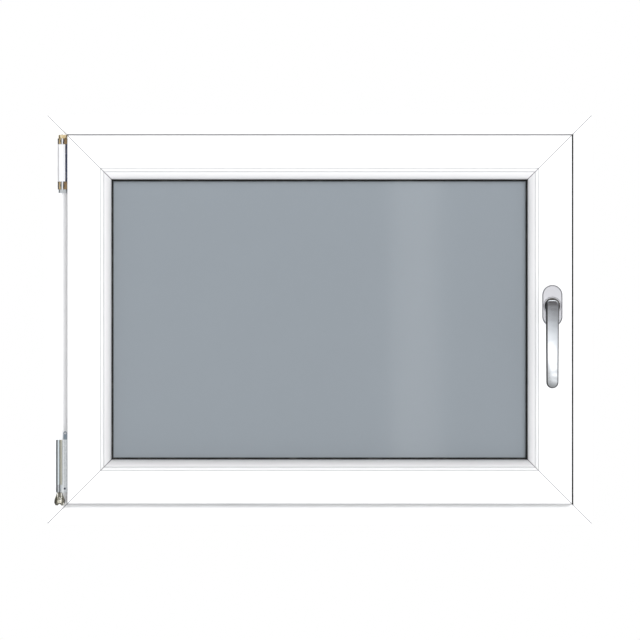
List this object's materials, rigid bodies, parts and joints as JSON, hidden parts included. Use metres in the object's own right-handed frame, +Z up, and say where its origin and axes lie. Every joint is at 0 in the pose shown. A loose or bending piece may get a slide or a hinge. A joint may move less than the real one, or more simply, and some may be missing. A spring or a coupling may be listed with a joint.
{
  "type": "pvc window",
  "caption": "White tilt-and-turn PVC window with an overlapping sash, double glazing, corner hinges and a lever handle.",
  "frame": {"origin": "middle of the frame's bottom face, halfway through the frame's depth", "axes": "+X to the right seen from the room, +Y towards outdoors, +Z up"},
  "size_m": [0.8, 0.143, 0.6],
  "materials": {
    "white_pvc": "smooth white extruded PVC with a soft gloss",
    "white_cap": "moulded white plastic",
    "black_seal": "soft black extruded seal",
    "sealant": "dark edge sealant",
    "packer": "moulded plastic",
    "glass": "clear float glass with a grey-blue cast",
    "spacer": "mill aluminium",
    "satin_metal": "satin silver metal",
    "zinc": "zinc plated steel",
    "yellow_zinc": "yellow passivated zinc plate",
    "chrome": "polished bearing"
  },
  "bodies": {
    "window": {"frame_sill": "white_pvc", "frame_head": "white_pvc", "frame_left_jamb": "white_pvc", "frame_right_jamb": "white_pvc", "sash_bottom_rail": "white_pvc", "sash_top_rail": "white_pvc", "sash_left_stile": "white_pvc", "sash_right_stile": "white_pvc", "glazing_bead_bottom": "white_pvc", "glazing_bead_top": "white_pvc", "glazing_bead_left": "white_pvc", "glazing_bead_right": "white_pvc", "sash_overlap_seal": "black_seal", "frame_stop_seal": "black_seal", "inner_glazing_seal": "black_seal", "outer_glazing_seal": "black_seal", "inner_pane": "glass", "outer_pane": "glass", "spacer_frame": "spacer", "edge_sealant": "sealant", "glazing_blocks": "packer", "drain_caps": "white_pvc", "handle_rosette": "satin_metal", "top_hinge_bearing": "yellow_zinc", "top_hinge_foot": "zinc", "top_hinge_arm": "yellow_zinc", "top_hinge_pin": "zinc", "top_hinge_cap": "white_cap", "bottom_hinge_leaf": "zinc", "bottom_hinge_bearing": "chrome", "bottom_hinge_pin": "zinc"},
    "handle": {"handle_lever": "satin_metal", "handle_spindle": "zinc"}
  },
  "joints": [
    {"name": "handle_turn", "type": "hinge", "parent": "window", "child": "handle", "pos_m": [0.3424, -0.07, 0.32], "axis": [0, 1, 0], "range_deg": [0, 180]}
  ]
}
